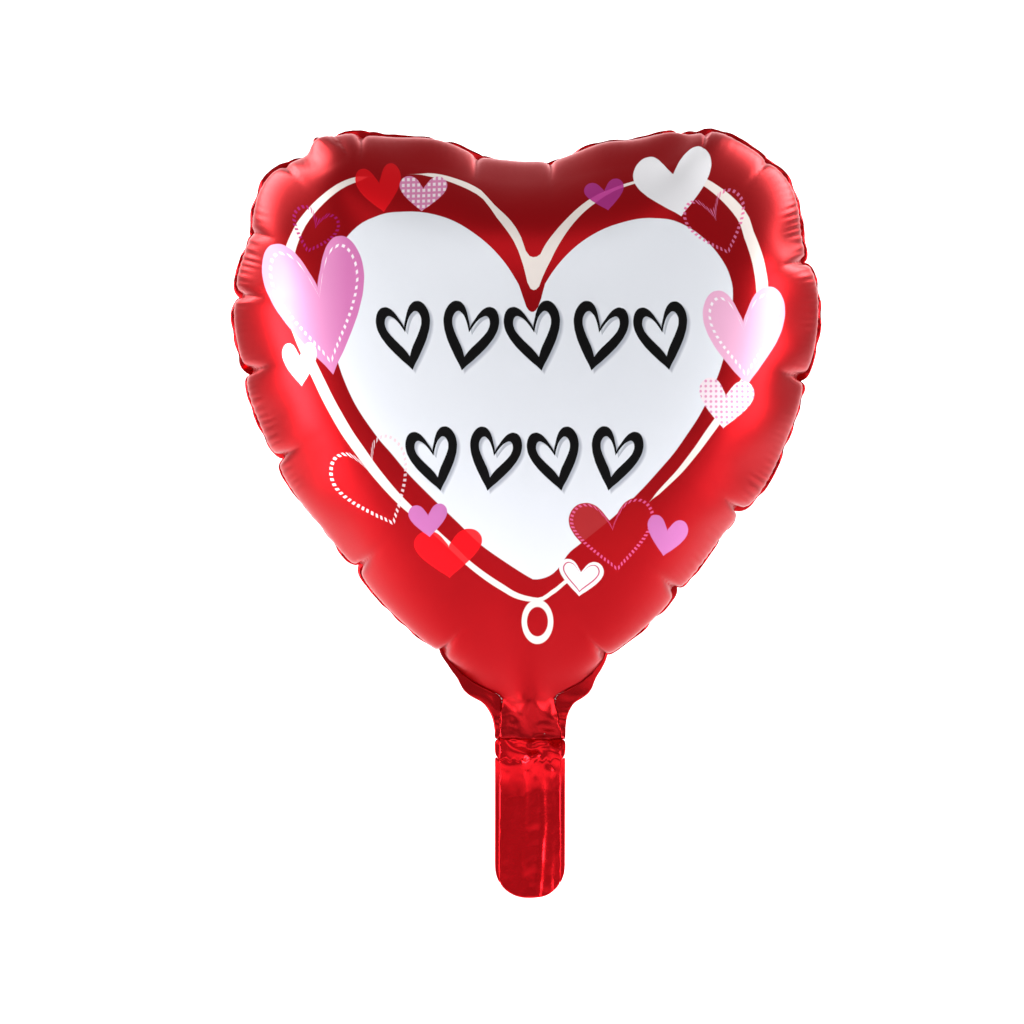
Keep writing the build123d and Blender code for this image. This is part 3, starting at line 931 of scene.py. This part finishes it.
def build():
    printed = print_material()
    flange_foil = foil_material("flange_foil", "D8121C", "A00810", 0.24, 0.006, 0.0002)
    tail_foil = foil_material("tail_foil", "F41622", "C80A13", 0.2, 0.012, 0.0004)
    materials = {"foil_front": printed, "foil_rear": printed, "seam_flange": flange_foil}
    stands_for = {
        "foil_front": ["front_foil_panel"], "foil_rear": ["rear_foil_panel"],
        "seam_flange": ["perimeter_seam", "front_neck_web", "rear_neck_web"],
        "neck_foil_front": ["neck_front_ply"], "neck_foil_rear": ["neck_rear_ply"],
        "neck_seams": ["neck_side_seams"], "tail_foil_front": ["tail_front_ply"],
        "tail_foil_rear": ["tail_rear_ply"], "tail_seams": ["tail_side_seams"]}

    flat, layer, tris, region = two_layers(*flat_mesh())
    seam_points = np.array(heart_loop())
    on_seam = np.array([((flat - p) ** 2).sum(axis=1).argmin() for p in seam_points])
    full = calm(inflate(flat, layer, tris, region), tris, on_seam)
    full[:, 1] *= 1 + (FULLNESS - 1) * ramp(full[:, 2], 20, 90)
    names = part_of(flat, tris, region)
    uses = np.zeros(len(flat), int)
    for name in stands_for:
        uses[np.unique(tris[names == name])] += 1
    corner = uses >= MEETING

    front = np.unique(tris[region == FRONT])
    fit, *_ = np.linalg.lstsq(curve_basis(flat[front]), as_seen(full[front]), rcond=None)
    seam_along = np.concatenate([[0], np.cumsum(np.linalg.norm(np.diff(seam_points, axis=0), axis=1))])

    def seam_at(px, pz):
        gap = np.hypot(full[on_seam, 0] - px, full[on_seam, 2] - pz)
        return seam_along[gap.argmin()]

    for name, nodes in stands_for.items():
        x, place, faces, kept = cut_piece(full, flat, tris[names == name], corner)
        ply = -1 if name.endswith("front") else 1 if name.endswith("rear") else 0
        x, place, faces, kept = subdivide(x, place, faces, kept)
        panel = name in ("foil_front", "foil_rear")
        if panel:
            gap = rim_place(place)[1]
            x, place, faces = split_where(x, place, faces, gap < FINE_RIM)
        else:
            x, place, faces, kept = subdivide(x, place, faces, kept)
        if name == "seam_flange":
            x = ruffled_flange(x, *rim_place(place)[:2], seam_along, full[on_seam])
        if panel or name == "seam_flange":
            x = crease_and_pleat(x, place, faces, seam_at, panel)
        x = crumple(x, np.full(len(x), ply))
        low = ramp(x[:, 2], *PRINT_FADE)[:, None]
        uv = low * (curve_basis(place) @ fit) + (1 - low) * x[:, [0, 2]] if panel else None
        obj = mesh_object(name, x, faces, uv, materials.get(name, tail_foil))
        thicken(obj, FLANGE_FILM if ply == 0 else FILM, 0.0 if ply == 0 else -1.0)
        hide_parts(*nodes)
        if name.startswith("neck_"):
            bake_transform(obj)
        elif name.startswith("tail_"):
            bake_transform(obj)
        else:
            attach(obj, "heart")


def valve():
    """The clear valve films inside the neck, bent with it."""
    clear = clear_material("valve_film", "E9EEF2", 0.12, 0.35)
    weld = clear_material("valve_weld", "D5DEE6", 0.3, 0.6)
    coat = clear_material("valve_coat", "C9A24A", 0.4, 0.8)
    for name, node, low, high, y in (
            ("valve_film_front", "valve_front_film", 0.0, VALVE_TOP, -VALVE_PLY),
            ("valve_film_rear", "valve_rear_film", 0.0, VALVE_TOP, VALVE_PLY),
            ("inlet_film_front", "valve_inlet_front_film", VALVE_BOTTOM, 0.0, -VALVE_PLY),
            ("inlet_film_rear", "valve_inlet_rear_film", VALVE_BOTTOM, 0.0, VALVE_PLY)):
        x, faces = strip(low, high, VALVE_HALF_WIDTH, y)
        obj = mesh_object(name, crumple(x, np.zeros(len(x))), faces, None, clear)
        thicken(obj, VALVE_FILM, 0.0)
        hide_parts(node)
        if low < 0:
            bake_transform(obj)
        else:
            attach(obj, "heart")
    for node, material in (("valve_side_welds", weld), ("valve_inlet_side_welds", weld),
                           ("valve_release_coat", coat)):
        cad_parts[node].data.materials.clear()
        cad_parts[node].data.materials.append(material)


# ---- Stage, in metres ------------------------------------------------------------------
SWEEP_FRONT, SWEEP_TOP = -6.0, 5.0
SWEEP_RADIUS = 1.2            # of the bend where the floor turns up
SWEEP_HALF_WIDTH = 5.0
FLOOR_DROP = 0.55             # how far the floor is below the neck
SENSOR = 36.0
VIEW_WIDTH = 0.655            # how much the picture takes in at the balloon


def area_light(name, place, aim, size, energy):
    light = bpy.data.lights.new(name, "AREA")
    light.shape = "RECTANGLE"
    light.size, light.size_y = size
    light.energy = energy
    obj = new_object(name, light)
    obj.location = place
    obj.rotation_euler = (Vector(aim) - Vector(place)).to_track_quat("-Z", "Y").to_euler()


def studio():
    """A white sweep, two tall side boxes, a high front light, two lights on the sweep, the camera."""
    r = SWEEP_RADIUS
    profile = [(SWEEP_FRONT, 0.0), (r, 0.0)]
    profile += [(r + r * math.sin(a), r - r * math.cos(a)) for a in np.linspace(0, math.pi / 2, 25)[1:]]
    profile += [(2 * r, SWEEP_TOP)]
    points = [(side * SWEEP_HALF_WIDTH, y, z - FLOOR_DROP) for side in (-1, 1) for y, z in profile]
    count = len(profile)
    faces = [(i, count + i, count + i + 1, i + 1) for i in range(count - 1)]
    mesh = bpy.data.meshes.new("sweep")
    mesh.from_pydata(points, [], faces)
    mesh.polygons.foreach_set("use_smooth", [True] * len(faces))
    material, g, shader = new_material("sweep_white")
    cloud = g.add("TexNoise", g.add("TexCoord").outputs["Object"], None, 0.7, 1.0, 0.5).outputs[0]
    g.feed(shader.inputs["Base Color"], g.blend(cloud, linear("E2E2E4"), linear("EAEAEC")))
    shader.inputs["Roughness"].default_value = 0.9
    shader.inputs["Specular IOR Level"].default_value = 0.1
    mesh.materials.append(material)
    sweep = new_object("sweep", mesh)

    world = bpy.data.worlds.new("studio")
    bpy.context.scene.world = world
    world.use_nodes = True
    background = world.node_tree.nodes["Background"]
    background.inputs["Color"].default_value = (1, 1, 1, 1)
    background.inputs["Strength"].default_value = 0.4
    middle = (0, 0, 0.2)
    area_light("box_left", (-1.8, -0.45, 0.05), middle, (0.7, 1.1), 34)
    area_light("box_right", (1.8, -0.4, 0.2), middle, (0.7, 1.2), 22)
    area_light("front", (0, -3.2, 2.6), middle, (3.0, 2.0), 18)
    for name, side in (("sweep_left", -1), ("sweep_right", 1)):
        area_light(name, (side * 1.6, 0.9, 1.6), (side * -0.2, 2.4, 0.3), (1.0, 1.5), 78)

    lens = bpy.data.cameras.new("camera")
    lens.sensor_width = SENSOR
    lens.lens = SENSOR * CAMERA_DISTANCE / VIEW_WIDTH
    lens.clip_end = 50
    camera = new_object("camera", lens)
    camera.location = (CAMERA_AIM[0] / 1000, -CAMERA_DISTANCE, CAMERA_AIM[1] / 1000)
    camera.rotation_euler = (math.pi / 2, 0, 0)
    bpy.context.scene.camera = camera
    bpy.context.scene.view_settings.view_transform = "Standard"


build()
valve()
studio()
